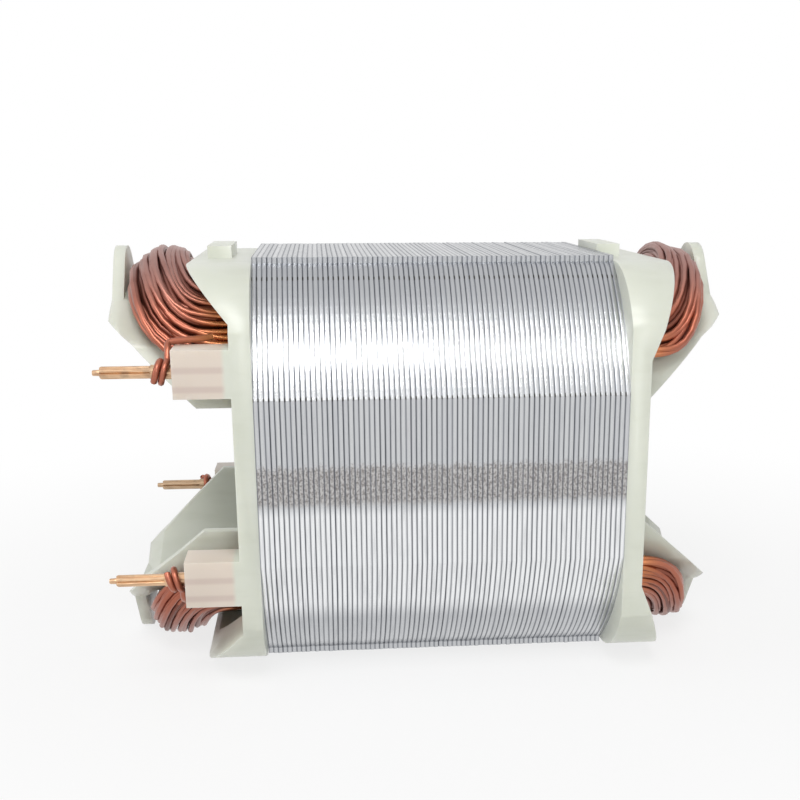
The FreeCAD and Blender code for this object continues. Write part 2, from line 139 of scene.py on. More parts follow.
def grid_points(along, section):
    """A grid of points: each place along X with one section, or with its own."""
    section = np.broadcast_to(section, (len(along),) + section.shape[-2:])
    depth = np.broadcast_to(np.asarray(along)[:, None, None], section.shape[:2] + (1,))
    return np.concatenate([depth, section], axis=-1)


def unit(vectors):
    """Vectors scaled to length one along the last axis."""
    return vectors / np.maximum(np.linalg.norm(vectors, axis=-1, keepdims=True), 1e-12)


def tubes(name, paths, normals, radius, closed=True, marks=None):
    """Round tubes: each point is its path's point plus the radius times cos t of upright and sin t
    of across. Across is square to the path's direction and to the given normal, and upright is
    square to the direction and to across."""
    if closed:
        tangent = unit(np.roll(paths, -1, axis=1) - np.roll(paths, 1, axis=1))
    else:
        tangent = unit(np.gradient(paths, axis=1))
    across = unit(np.cross(tangent, normals))
    upright = np.cross(across, tangent)
    turn = np.linspace(0, 2 * math.pi, WIRE_SIDES, endpoint=False)[:, None]
    ring = np.cos(turn) * upright[:, :, None, :] + np.sin(turn) * across[:, :, None, :]
    points = paths[:, :, None, :] + radius * ring
    count, length = paths.shape[:2]
    faces = []
    for first in np.arange(count) * length * WIRE_SIDES:
        faces.append(grid_faces(length, WIRE_SIDES, first, closed_rows=closed, closed_columns=True))
        if not closed:
            start_cap = first + np.arange(WIRE_SIDES)[None, :]
            faces += [start_cap, start_cap[:, ::-1] + (length - 1) * WIRE_SIDES]
    marks = {key: np.repeat(np.broadcast_to(value, (count, length)).reshape(-1), WIRE_SIDES)
             for key, value in (marks or {}).items()}
    return add_mesh(name, points.reshape(-1, 3), faces, marks=marks)


def face_outwards(piece):
    """Merges doubles and turns every face outwards."""
    work = bmesh.new()
    work.from_mesh(piece.data)
    bmesh.ops.remove_doubles(work, verts=work.verts, dist=1e-6)
    bmesh.ops.recalc_face_normals(work, faces=work.faces)
    work.to_mesh(piece.data)
    work.free()


def waves(random, count, length, terms=(1, 2, 3, 5), size=1.0):
    """Smooth closed noise, one row a wire.

    It is the sum, over the terms, of a random height times the sine of the term times the place
    plus a random phase, over the square root of the term."""
    place = np.linspace(0, 2 * math.pi, length, endpoint=False)
    total = np.zeros((count, length))
    for term in terms:
        phase = random.uniform(0, 2 * math.pi, (count, 1))
        total += random.normal(0, 1, (count, 1)) * np.sin(term * place + phase) / math.sqrt(term)
    return size * total / math.sqrt(len(terms))


# ---------------------------------------------------------------- shaders

class Value:
    """A node socket with arithmetic, so that shader maths reads as an expression."""

    def __init__(self, graph, socket):
        self.graph, self.socket = graph, socket

    def _math(self, kind, *inputs):
        return self.graph.node("ShaderNodeMath", {"operation": kind}, *inputs)

    def __add__(self, other):
        return self._math("ADD", self, other)

    def __radd__(self, other):
        return self._math("ADD", other, self)

    def __sub__(self, other):
        return self._math("SUBTRACT", self, other)

    def __rsub__(self, other):
        return self._math("SUBTRACT", other, self)

    def __mul__(self, other):
        return self._math("MULTIPLY", self, other)

    def __rmul__(self, other):
        return self._math("MULTIPLY", other, self)

    def __truediv__(self, other):
        return self._math("DIVIDE", self, other)

    def __lt__(self, other):
        return self._math("LESS_THAN", self, other)

    def __abs__(self):
        return self._math("ABSOLUTE", self)


class Graph:
    """The node tree of a material or a world, built one call per node."""

    def __init__(self, owner):
        owner.use_nodes = True
        self.owner = owner
        self.tree = owner.node_tree
        self.tree.nodes.clear()

    def put(self, socket, value):
        """Links a Value to the socket, or sets a plain number or colour on it."""
        if isinstance(value, Value):
            self.tree.links.new(value.socket, socket)
        else:
            socket.default_value = value

    def node(self, kind, settings=None, *inputs, output=0, **named):
        """Adds a node: its settings, then its sockets by place or by name. Returns one output."""
        made = self.tree.nodes.new(kind)
        for key, value in (settings or {}).items():
            setattr(made, key, value)
        for place, value in enumerate(inputs):
            self.put(made.inputs[place], value)
        for key, value in named.items():
            self.put(made.inputs[key.replace("_", " ")], value)
        return Value(self, made.outputs[output]) if made.outputs else None

    def coordinates(self):
        """The object coordinates in millimetres."""
        metres = self.node("ShaderNodeTexCoord", output="Object")
        return self.node("ShaderNodeVectorMath", {"operation": "SCALE"}, metres, Scale=1 / MM)

    def axis(self, vector, name):
        """The part of a vector along X, Y or Z."""
        return self.node("ShaderNodeSeparateXYZ", None, vector, output=name)

    def size(self, vector):
        """The length of a vector."""
        return self.node("ShaderNodeVectorMath", {"operation": "LENGTH"}, vector, output="Value")

    def noise(self, vector, scale, detail=2.0, rough=0.5):
        """Cloudy noise from nought to one, with scale in clouds to the millimetre."""
        return self.node("ShaderNodeTexNoise", Vector=vector, Scale=scale, Detail=detail,
                         Roughness=rough)

    def stretch(self, vector, x, y, z):
        """The vector with each of its parts multiplied."""
        return self.node("ShaderNodeVectorMath", {"operation": "MULTIPLY"}, vector, (x, y, z))

    def blend(self, factor, first, second):
        """A colour that is the first where the factor is nought and the second where it is one."""
        mixed = self.node("ShaderNodeMix", {"data_type": "RGBA", "clamp_factor": True}, output=2)
        for place, value in ((0, factor), (6, first), (7, second)):
            self.put(mixed.socket.node.inputs[place], value)
        return mixed

    def step(self, value, low, high, start=0.0, end=1.0):
        """A smooth step from start to end as the value goes from low to high."""
        return self.node("ShaderNodeMapRange", {"interpolation_type": "SMOOTHSTEP", "clamp": True},
                         value, low, high, start, end)

    def band(self, value, centre, half, soft):
        """One inside centre plus or minus half, falling to nought over soft."""
        return 1 - self.step(abs(value - centre), half, half + soft)

    def bump(self, height, distance, strength):
        """A normal bent by a height, whose unit is the distance in metres."""
        return self.node("ShaderNodeBump", Height=height, Distance=distance, Strength=strength)

    def mark(self, name):
        """A point attribute of the mesh."""
        return self.node("ShaderNodeAttribute", {"attribute_name": name}, output="Fac")

    def finish(self, shader, kind="ShaderNodeOutputMaterial"):
        """Wires the shader to the output and returns the material or the world."""
        self.node(kind, None, shader)
        return self.owner

    def surface(self, **sockets):
        """Finishes with the principled shader, its sockets given by name."""
        return self.finish(self.node("ShaderNodeBsdfPrincipled", **sockets))


def new_material(name):
    """The graph of a new material."""
    return Graph(bpy.data.materials.new(name))


def rgba(red, green, blue):
    """An opaque colour."""
    return (red, green, blue, 1.0)


def dress(piece, material):
    """Gives every face of the piece this one material."""
    piece.data.materials.clear()
    piece.data.materials.append(material)


def steel_material(shade, wear, pitch):
    """Punched sheet edges: bright where sheared, dark in the joints, speckled grey in a torn band.

    Painted glare fades the joints in a band; painted shade dulls the metal where the rim turns
    away."""
    # heights in millimetres: middle, half and fade of a band, or start and end of a step
    # the second band is a painted highlight of glare
    torn_band, glare_band = (-0.2, 1.5, 0.8), (12.3, 0.4, 1.5)
    low_seam, high_seam = (8.35, 0.1, 0.12), (19.0, 0.1, 0.1)
    # the first step places a painted reflection, the foot and crown steps painted shade
    low_sheen_step, foot_step, crown_step = (-1.9, -3.4), (-12.5, -15.5), (14.0, 18.0)
    rim_step = (20.4, 20.9)
    graph = new_material("steel_edges")
    vector = graph.coordinates()
    x, z = graph.axis(vector, "X"), graph.axis(vector, "Z")
    place = (x + PACK_HALF / MM) / (pitch / MM)
    cell = graph.node("ShaderNodeMath", {"operation": "FLOOR"}, place)
    sheet = graph.node("ShaderNodeTexWhiteNoise", {"noise_dimensions": "1D"}, W=cell,
                       output="Value")
    across = place - cell
    outside = graph.step(graph.size(graph.stretch(vector, 0.0, 1.0, 1.0)), *rim_step)
    speck = graph.noise(graph.stretch(vector, 2.2, 1.4, 1.4), 2.4, 4.0, 0.7)
    fine = graph.noise(graph.stretch(vector, 6.0, 2.0, 2.0), 1.5, 3.0, 0.6)
    streak = graph.noise(graph.stretch(vector, 4.0, 0.4, 0.25), 1.0)
    ragged = z + (sheet - 0.5) * 0.35 + (speck - 0.5) * 1.3
    torn = graph.band(ragged, *torn_band) * outside
    # painted highlight: a band of glare on the rounded rim, in which the joints and their edge
    # shade fade
    bright = graph.band(z, *glare_band)
    joint = 1 - graph.step(across, 0.06, 0.3) + graph.step(across, 0.82, 1.0)
    joint = joint * (0.5 + sheet * 0.3) * (1 - bright * 0.8)
    # painted shade across each sheet's rounded edge, darker towards the joints and gone in the
    # glare
    soft = graph.step(abs(across - 0.5), 0.15, 0.5) * 0.4 * (1 - bright)
    # painted shade: the foot and the crown of the rim darkened where it turns away from the light
    dull = graph.step(z, *foot_step) * 0.6 + graph.step(z, *crown_step) * 0.45
    uneven = z + (fine - 0.5) * 0.4
    seam = graph.band(uneven, *low_seam) + graph.band(uneven, *high_seam)
    seam = seam * graph.step(joint, 0.1, 0.5) * outside

    color = graph.blend(sheet * 0.4, shade, rgba(0.44, 0.45, 0.48))
    # painted reflection: the rim lightened below the middle
    painted_low_sheen = graph.step(z, *low_sheen_step) * 0.75
    color = graph.blend(painted_low_sheen * outside, color, rgba(0.96, 0.97, 0.98))
    color = graph.blend(graph.step(streak, 0.45, 0.75) * 0.3, color, rgba(0.36, 0.37, 0.39))
    pit, ridge = rgba(0.17, 0.15, 0.14), rgba(0.50, 0.485, 0.475)
    grain = graph.blend(graph.step(speck, 0.38, 0.6), pit, ridge)
    color = graph.blend(torn * wear, color, grain)
    # painted shade on the turned-away rim and across the sheets' rounded edges
    color = graph.blend(dull * outside, color, rgba(0.30, 0.31, 0.33))
    color = graph.blend(soft, color, rgba(0.34, 0.35, 0.37))
    color = graph.blend(joint, color, rgba(0.10, 0.11, 0.135))
    color = graph.blend(seam, color, rgba(0.07, 0.065, 0.06))
    rough = 0.22 + torn * 0.3 + (streak - 0.5) * 0.15 + sheet * 0.08 + joint * 0.2
    relief = graph.bump(fine * 0.6 + torn * (speck - 0.5) * 3.0, 0.05 * MM, 0.6)
    return graph.surface(Base_Color=color, Roughness=rough, Metallic=1 - torn * 0.5, Normal=relief)


def nylon_material(shade, glow, pin_height):
    """Natural nylon: pale and a little see-through, with faint flow marks and a satin face.

    The terminal pockets are tinted by the metal inside them, with two darker ribs."""
    # the pockets in millimetres from the middle planes, and their ribs from the pins
    pocket_side, pocket_end = (17.7, 18.3), (20.6, 21.2)
    pocket_foot, pocket_top = (6.9, 7.4), (13.4, 13.8)
    rib_band = (0.9, 0.12, 0.35)
    graph = new_material("natural_nylon")
    vector = graph.coordinates()
    x, y, z = (graph.axis(vector, name) for name in "XYZ")
    cloud = graph.noise(vector, 0.18, 3.0)
    flow = graph.noise(graph.stretch(vector, 0.3, 0.3, 1.2), 0.7, 4.0)
    grain = graph.noise(vector, 5.0, 3.0)
    corner = graph.step(abs(y), *pocket_side) * graph.step(abs(x), *pocket_end) * (x < 0)
    pocket = corner * graph.step(abs(z), *pocket_foot) * (1 - graph.step(abs(z), *pocket_top))
    ribs = graph.band(abs(abs(z) - pin_height / MM), *rib_band)

    color = graph.blend(graph.step(cloud, 0.35, 0.7) * 0.5, shade, rgba(0.62, 0.645, 0.55))
    color = graph.blend(graph.step(flow, 0.5, 0.8) * 0.25, color, rgba(0.54, 0.56, 0.46))
    color = graph.blend(pocket * 0.75, color, rgba(0.72, 0.60, 0.52))
    color = graph.blend(pocket * ribs * 0.5, color, rgba(0.54, 0.42, 0.38))
    rough = 0.34 + (grain - 0.5) * 0.2 + (flow - 0.5) * 0.1
    relief = graph.bump(grain * 0.5 + flow, 0.04 * MM, 0.4)
    return graph.surface(Base_Color=color, Roughness=rough, Normal=relief, Subsurface_Weight=glow,
                         Subsurface_Radius=(1.0, 0.95, 0.8), Subsurface_Scale=1.2 * MM, IOR=1.53)


def copper_material(shade, gloss):
    """Enamelled wire: red-brown, each strand its own shade, brighter by the sheets, greyer over the
    poles with painted reflection, and dark deep in the coil with painted shade."""
    # millimetres past the sheets, and from the axis
    near_step, sky_reflection_step = (1.5, 7.0), (14.5, 20.5)
    graph = new_material("enamelled_copper")
    vector = graph.coordinates()
    x, z = graph.axis(vector, "X"), graph.axis(vector, "Z")
    run = graph.noise(vector, 0.5, 3.0)
    fine = graph.noise(vector, 3.0, 3.0)
    near = 1 - graph.step(abs(x) - PACK_HALF / MM, *near_step)
    # painted reflection: the turns greyer over the poles, where they mirror the white surround
    over = graph.step(abs(z), *sky_reflection_step) * (1 - near)

    color = graph.blend(graph.mark("strand"), shade, rgba(0.42, 0.14, 0.085))
    color = graph.blend(near * 0.7, color, rgba(0.80, 0.33, 0.10))
    color = graph.blend(over * 0.8, color, rgba(0.34, 0.20, 0.18))
    color = graph.blend(graph.step(run, 0.5, 0.75) * 0.35, color, rgba(0.20, 0.055, 0.035))
    # painted shade: the wires deep in the coil darkened
    color = graph.blend(graph.mark("depth_shade") * 0.75, color, rgba(0.10, 0.022, 0.012))
    rough = 0.34 + (fine - 0.5) * 0.15 + over * 0.08 - near * 0.1
    relief = graph.bump(fine, 0.02 * MM, 0.3)
    return graph.surface(Base_Color=color, Roughness=rough, Metallic=0.7 + near * 0.2,
                         Coat_Weight=gloss, Coat_Roughness=0.2, Normal=relief)


def pin_material(shade):
    """Drawn pins: dull copper-coloured metal, lined along it, tarnished, painted shade on the far
    side.
    """
    graph = new_material("terminal_pin")
    vector = graph.coordinates()
    lines = graph.noise(graph.stretch(vector, 0.3, 3.0, 3.0), 2.0, 3.0)
    tarnish = graph.noise(vector, 0.8, 4.0)
    # painted shade: darker towards the far side
    far = graph.step(graph.axis(vector, "Y"), -5.0, 5.0)
    color = graph.blend(graph.step(lines, 0.4, 0.65) * 0.6, shade, rgba(0.46, 0.25, 0.14))
    color = graph.blend(graph.step(tarnish, 0.5, 0.75) * 0.5, color, rgba(0.30, 0.22, 0.16))
    # painted shade on the far side
    color = graph.blend(far * 0.5, color, rgba(0.30, 0.24, 0.17))
    return graph.surface(Base_Color=color, Roughness=0.36 + (tarnish - 0.5) * 0.25, Metallic=0.9,
                         Normal=graph.bump(lines, 0.04 * MM, 0.5))


def paper_material(shade):
    """Insulating paper: matt, off-white, with fibres."""
    graph = new_material("slot_paper")
    fibre = graph.noise(graph.stretch(graph.coordinates(), 0.5, 2.0, 2.0), 2.0, 4.0)
    color = graph.blend(graph.step(fibre, 0.4, 0.7) * 0.4, shade, rgba(0.70, 0.68, 0.60))
    return graph.surface(Base_Color=color, Roughness=0.75 + (fibre - 0.5) * 0.2,
                         Normal=graph.bump(fibre, 0.03 * MM, 0.4))


# ---------------------------------------------------------------- sheets

def polar(radius, angle):
    """Points from distances and angles from the upper pole: across is the distance times the sine,
    and up is the distance times the cosine."""
    return np.stack([radius * np.sin(angle), radius * np.cos(angle)], axis=-1)


def rim_radius(angle, shape):
    """The outline's distance from the axis at an angle from the pole.

    A flat's is its own distance over the cosine or the sine. Inside the risers it is the flat
    top's. Past them it is the lesser of the upright flat's and that of the round corner, which the
    riser meets from outside."""
    across, up = np.abs(np.sin(angle)) + 1e-9, np.abs(np.cos(angle)) + 1e-9
    corner = np.maximum(shape.round_radius, shape.crown_reach / across)
    on_crown = across / up <= shape.crown_reach / shape.crown_height + 1e-6
    flank = np.minimum(shape.flat_reach / across, corner)
    return np.where(on_crown, shape.crown_height / up, flank)


def rim_angles(shape):
    """Angles round the outline, one at every corner: even steps from corner to corner of a quarter,
    then the quarter mirrored."""
    corners = [0, math.asin(shape.core_reach / shape.yoke_bore),
               math.atan2(shape.crown_reach, shape.crown_height),
               math.asin(shape.crown_reach / shape.round_radius),
               math.asin(shape.flat_reach / shape.round_radius), math.pi / 2]
    quarter = np.concatenate([np.linspace(low, high, steps, endpoint=False)
                              for low, high, steps in zip(corners, corners[1:], RIM_STEPS)])
    mirrored = math.pi - np.append(quarter, math.pi / 2)[:0:-1]
    half = np.concatenate([quarter, mirrored])
    return np.concatenate([half, half + math.pi])


def rim_grid(shape, sheets, angle, random):
    """The rim: outline angles by places along the pack.

    The outline shrinks by the edge profile times the groove and by a random amount a sheet, and
    moves by a random shift a sheet. The first and last rows are the plain outline."""
    pitch = 2 * PACK_HALF / sheets
    steps = len(EDGE_PROFILE)
    along = (np.arange(sheets)[:, None] + EDGE_PROFILE[:, 0]).ravel() * pitch - PACK_HALF
    sunk = np.tile(EDGE_PROFILE[:, 1], sheets) * shape.edge_groove
    shift = np.repeat(random.normal(0, shape.sheet_jitter, (sheets, 2)), steps, axis=0)
    wave = np.repeat(random.normal(0, shape.sheet_jitter, sheets), steps)
    along, sunk = np.append(along, PACK_HALF), np.append(sunk, shape.edge_groove)
    shift, wave = np.vstack([shift, [0, 0]]), np.append(wave, 0)
    outline = rim_radius(angle, shape)
    scale = 1 - (sunk + wave)[:, None] / shape.round_radius
    rim = polar(outline * scale, angle) + shift[:, None, :]
    rim[0] = rim[-1] = polar(outline, angle)
    return grid_points(along, rim)


def wall_grid(shape, sheets, loop):
    """The window's wall: its outline by half sheets along the pack.

    It grows by half a groove over the yoke's inner radius at each joint, and by nothing between."""
    along = np.linspace(-PACK_HALF, PACK_HALF, 2 * sheets + 1)
    sunk = np.where(np.arange(len(along)) % 2 == 0, shape.edge_groove / 2, 0)
    sunk[0] = sunk[-1] = 0
    return grid_points(along, loop[None] * (1 + sunk[:, None, None] / shape.yoke_bore))


def window_angles(shape):
    """Angles from a pole: the core's side at the yoke and at the shoe, then the arcs of the shoe's
    flank, of its whole back and of the pole face.

    A core's angle has the core's reach over the radius as its sine, and a tip's has the tip's
    height over the radius as its cosine."""
    core_yoke = math.asin(shape.core_reach / shape.yoke_bore)
    core_shoe = math.asin(shape.core_reach / shape.shoe_back)
    tip = math.acos(shape.tip_height / shape.shoe_back)
    flank = np.linspace(core_shoe, tip, ARC_STEPS + 1)[1:]
    back = np.concatenate([-flank[::-1], np.linspace(-core_shoe, core_shoe, ARC_STEPS + 1), flank])
    face = back / tip * math.acos(shape.tip_height / shape.bore)
    return core_yoke, core_shoe, flank, back, face


def window_loop(shape, angle):
    """The window's outline: for each pole its face, its flank, the core's side, the slot's outer
    wall, and the next pole's core and flank."""
    core_yoke, core_shoe, flank, _, face = window_angles(shape)
    slot = angle[(angle > core_yoke - 1e-6) & (angle < math.pi - core_yoke + 1e-6)]
    corner = np.array([core_shoe])
    half = ((shape.bore, face), (shape.shoe_back, flank[::-1]), (shape.shoe_back, corner),
            (shape.yoke_bore, slot),
            (shape.shoe_back, math.pi - corner), (shape.shoe_back, math.pi - flank))
    return np.concatenate([polar(radius, part + turn)
                           for turn in (0.0, math.pi) for radius, part in half])


def end_grids(shape, angle):
    """Flat strips that close both ends: round the yoke, over each core and over each shoe."""
    core_yoke, _, _, back, face = window_angles(shape)
    core = np.linspace(-core_yoke, core_yoke, ARC_STEPS + 1)
    core_foot = back[ARC_STEPS:2 * ARC_STEPS + 1]
    yoke, shoe, bore = shape.yoke_bore, shape.shoe_back, shape.bore
    strips = [(polar(rim_radius(angle, shape), angle), polar(yoke, angle), True)]
    for turn in (0.0, math.pi):
        strips += [(polar(yoke, core + turn), polar(shoe, core_foot + turn), False),
                   (polar(shoe, back + turn), polar(bore, face + turn), False)]
    return [(grid_points([end, end], np.stack([outer, inner])), closed)
            for end in (-PACK_HALF, PACK_HALF) for outer, inner, closed in strips]


def sheet_pack(shape, random):
    """The pack as one closed surface of grids: its rim, its window's wall and its two ends."""
    sheets = round(2 * PACK_HALF / shape.sheet_pitch)
    angle = rim_angles(shape)
    grids = [(rim_grid(shape, sheets, angle, random), True),
             (wall_grid(shape, sheets, window_loop(shape, angle)), True), *end_grids(shape, angle)]
    points, faces, first = [], [], 0
    for grid, closed in grids:
        points.append(grid.reshape(-1, 3))
        faces.append(grid_faces(*grid.shape[:2], first, closed_columns=closed))
        first += len(points[-1])
    pack = add_mesh("sheet_pack", np.concatenate(points), faces, smooth=False)
    face_outwards(pack)
    return pack


# ---------------------------------------------------------------- windings

def wound_surface(settings, across, deep, place):
    """Points of a coil, and their angles from the pole.

    The place runs 0 to 4 round the loop: near leg, plain-end turn, far leg, terminal-end turn.
    On a turn the sweep s goes 0 to 180 degrees, slower at its ends, and a is the size of cos s.
    The angle from the pole is the leg's angle times cos s. The distance along is the leg's end
    plus the reach times the cube root of 1 less a cubed. The radius grows by the bulge times 1
    less a cubed, squared, more towards the lip, and less where the turn sags behind the tongue,
    and it stops short of the part's top."""
    slowing, core_swell, sag_depth, headroom = 0.3, 0.55, 0.9, 0.55
    section = np.floor(place).astype(int) % 4
    part = place - np.floor(place)
    turning = section % 2 == 1
    end = np.where(section == 1, 1.0, -1.0)
    side = np.where(section == 0, -1.0, np.where(section == 2, 1.0, 0.0))
    sweep = np.where(turning, math.pi * part - slowing * np.sin(2 * math.pi * part), 0.0)
    left = np.abs(np.cos(sweep))

    slot_radius = settings.coil_inner + deep * (settings.coil_outer - settings.coil_inner)
    first = np.arcsin(np.clip(settings.coil_core / slot_radius, -1, 1))
    last = np.arccos(np.clip(settings.coil_mouth / slot_radius, -1, 1))
    leg = first + (last - first) * across
    angle = np.where(turning, -leg * np.cos(sweep) * end, side * leg)

    start = PACK_HALF + settings.coil_foot
    core_reach = settings.core_gap - settings.coil_foot
    lip = np.where(end > 0, FRAME_HIGH[0], -LIP_LOW) - PACK_HALF
    lip_reach = lip - settings.lip_gap - settings.coil_foot
    reach = core_reach + (lip_reach - core_reach) * across
    along_leg = (1 - 2 * part) * start * side
    along = np.where(turning, end * (start + reach * np.cbrt(1 - left ** 3)), along_leg)

    width = np.clip(across, 0, 1)
    shoulder = (1 - left ** 3) ** 2 * (core_swell + (1 - core_swell) * width)
    sag = 1 - sag_depth * width ** 1.5 * (1 - left ** 2) ** 4
    radius = slot_radius + deep * settings.bulge * shoulder * sag
    radius = np.minimum(radius, FRAME_HIGH[2] - headroom * settings.wire_diameter)
    return np.stack([along, radius * np.sin(angle), radius * np.cos(angle)], axis=-1), angle


def coil_wires(label, up, shape, random):
    """One coil as separate closed loops of wire, in layers and columns over the coil's section.

    A wire's place in the section is its column and layer, pulled in at the section's corners,
    plus smooth noise round the loop that grows on the turns, where the strands spread and cross.
    Each wire is marked with its own tint, and with its depth in the section for painted shade."""
    column_pull, layer_pull, leg_wander, rind = 0.3, 0.35, 0.25, 0.3
    column, layer = (part.ravel() for part in np.meshgrid(np.linspace(-1, 1, shape.wire_columns),
                                                          np.linspace(-1, 1, shape.wire_layers)))
    count = len(column)
    place = np.concatenate([part + np.linspace(0, 1, steps, endpoint=False)
                            for part, steps in enumerate((LEG_POINTS, TURN_POINTS) * 2)])
    loose = np.where(np.floor(place).astype(int) % 2 == 1, np.sin(math.pi * (place % 1)), 0.0)
    stray = waves(random, count, len(place), size=shape.wander) * (leg_wander + loose)
    across = (column * np.sqrt(1 - column_pull * layer ** 2))[:, None] + stray
    rise = waves(random, count, len(place), size=shape.wander * 1.1) * loose
    deep = (layer * np.sqrt(1 - layer_pull * column ** 2))[:, None] + rise
    lifted = np.abs(waves(random, count, len(place), (2, 3), shape.wander))
    deep = deep + np.clip(layer, 0, 1)[:, None] * loose * lifted
    across, deep = 0.5 + 0.5 * np.clip(across, -1.05, 1.08), 0.5 + 0.5 * np.clip(deep, -1, 1.25)

    paths, angle = wound_surface(shape, across, deep, np.broadcast_to(place, across.shape))
    normals = np.stack([np.zeros_like(angle), np.sin(angle), np.cos(angle)], axis=-1)
    paths[..., 1:] *= up
    normals[..., 1:] *= up
    tint = random.uniform(0, 1, (count, 1))
    # a wire's depth inside the section's outer wires, which sets its painted shade
    depth_shade = np.clip((1 - np.maximum(np.abs(column), np.abs(layer))) / rind, 0, 1)[:, None]
    marks = {"strand": tint, "depth_shade": depth_shade}
    return tubes(label, paths, normals, shape.wire_diameter / 2, marks=marks)


# ---------------------------------------------------------------- terminals

def pin_level(shape, up):
    """The height of an upper or a lower pin's axis."""
    return up * shape.pin_height + shape.pin_offset


def lead_wire(label, side, up, shape):
    """A lead as one smooth tube: from the coil's shoulder over the pocket's end and round the pin.

    The turns are a screw line: the distance along grows with the angle, and more on the side of
    the pin away from the pole. Before them come five points, given along, across and up."""
    tight, lean, steps, strand = 1.05, 0.2 * MM, 16, 0.7
    level = pin_level(shape, up)
    gap = shape.wire_diameter / 2
    out = PACK_HALF + shape.pocket_end
    ring = shape.pin_root + gap
    turn = np.linspace(0, 2 * math.pi * shape.wrap_turns, round(steps * shape.wrap_turns))
    screw = turn / (2 * math.pi) * shape.wire_diameter * tight + lean * (1 - np.cos(turn))
    wrap = np.stack([-out - gap * 1.6 - screw, side * (shape.pin_reach + ring * np.sin(turn)),
                     level + up * ring * np.cos(turn)], axis=-1)
    foot, reach = shape.lead_foot, shape.pin_reach
    above = level + up * (shape.pocket_height / 2 + gap + 0.1 * MM)
    course = np.array([(-out + 3.6 * MM, side * (foot - 0.6 * MM), above + up * 0.5 * gap),
                       (-out + 2.4 * MM, side * foot, above + up * 0.2 * gap),
                       (-out - 0.4 * gap, side * (foot + 0.9 * MM), above),
                       (-out - 1.8 * gap, side * (reach - 1.2 * MM), above - up * 0.6 * gap),
                       (-out - 1.5 * gap, side * (reach - 0.5 * MM), level + up * 2.0 * ring)])
    path = smooth_path(np.concatenate([course, wrap]), 2)
    normals = np.broadcast_to([0.0, 0.3, 1.0], path.shape)
    return tubes(label, path[None], normals[None], gap, closed=False, marks={"strand": strand})


def smooth_path(points, rounds):
    """The path with its corners cut: each round puts points at a quarter and at three quarters of
    every run."""
    for _ in range(rounds):
        near, far = points[:-1], points[1:]
        cut = np.stack([0.75 * near + 0.25 * far, 0.25 * near + 0.75 * far], axis=1)
        points = np.concatenate([points[:1], cut.reshape(-1, 3), points[-1:]])
    return points


def drawn_pin(label, side, up, shape):
    """A pin as a surface of revolution with a stub at its tip.

    Each station's radius is the same all round, but between shoulder and tip it dips in evenly
    spaced grooves, each a bell curve of the angle."""
    start, shoulder, end = shape.pin_start, shape.pin_shoulder, shape.pin_end
    columns, groove_width, sharp = 60, 0.13, math.radians(40)
    # from the sheets, share of the radius, share of the grooves' depth
    stations = np.array([(start, 0.0, 0.0), (start, 1.15, 0.0), (shoulder, 1.15, 0.0),
                         (shoulder + 0.15 * MM, 1.0, 1.0), (end - 0.85 * MM, 1.0, 1.0),
                         (end - 0.7 * MM, 0.86, 1.0), (end - 0.68 * MM, 0.5, 0.0),
                         (end - 0.08 * MM, 0.46, 0.0), (end, 0.36, 0.0), (end, 0.0, 0.0)])
    turn = np.linspace(0, 2 * math.pi, columns, endpoint=False)
    off_line = (turn * shape.pin_lines / (2 * math.pi)) % 1 - 0.5
    groove = shape.pin_line_depth * np.exp(-(off_line / groove_width) ** 2)
    radius = stations[:, 1:2] * shape.pin_radius * (1 - stations[:, 2:] * groove)
    section = np.stack([side * shape.pin_reach + radius * np.sin(turn),
                        pin_level(shape, up) + radius * np.cos(turn)], axis=-1)
    points = grid_points(-PACK_HALF - stations[:, 0], section).reshape(-1, 3)
    pin = add_mesh(label, points, [grid_faces(len(stations), columns, closed_columns=True)])
    face_outwards(pin)
    edge = pin.modifiers.new("edge", "EDGE_SPLIT")
    edge.split_angle = sharp
    return pin


# ---------------------------------------------------------------- mouldings

def soft_edged(node, width):
    """A copy of a CAD node with its doubles merged and its sharp edges rounded."""
    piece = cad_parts[node].copy()
    piece.data = piece.data.copy()
    piece.name = f"{node}_moulding"
    bpy.context.scene.collection.objects.link(piece)
    face_outwards(piece)
    piece.data.shade_smooth()
    bevel = piece.modifiers.new("rounded", "BEVEL")
    bevel.width = width
    bevel.segments = 2
    bevel.limit_method = "ANGLE"
    bevel.angle_limit = math.radians(38)
    bevel.harden_normals = True
    return piece


# ---------------------------------------------------------------- stage

def seen(graph):
    """One for rays that show the surround itself: straight, in gloss or through clear parts."""
    camera, gloss, clear = (graph.node("ShaderNodeLightPath", output=f"Is {kind} Ray")
                            for kind in ("Camera", "Glossy", "Transmission"))
    return graph.node("ShaderNodeMath", {"operation": "MINIMUM"}, camera + gloss + clear, 1.0)


def floor_material(color):
    """A plain pale floor: it takes the object's shadow close by and is plain white further off."""
    near, far, near_white = 30.0, 120.0, 0.78
    graph = new_material("floor")
    vector = graph.coordinates()
    haze = graph.noise(vector, 0.01)
    rough = 0.6 + (haze - 0.5) * 0.02
    plain = graph.node("ShaderNodeBsdfPrincipled", Base_Color=color, Roughness=rough)
    white = graph.node("ShaderNodeEmission", None, rgba(1, 1, 1), 1.0)
    shown = seen(graph) * graph.step(graph.size(vector), near, far, near_white, 1.0)
    gloss = graph.node("ShaderNodeLightPath", output="Is Glossy Ray")
    whiteness = graph.node("ShaderNodeMath", {"operation": "MAXIMUM"}, gloss, shown)
    return graph.finish(graph.node("ShaderNodeMixShader", None, whiteness, plain, white))


def soft_world(strength):
    """An even white surround: dimmer as a light than as a backdrop."""
    graph = Graph(bpy.data.worlds.new("soft_surround"))
    level = strength + (1 - strength) * seen(graph)
    light = graph.node("ShaderNodeBackground", None, rgba(1, 1, 1), level)
    return graph.finish(light, "ShaderNodeOutputWorld")


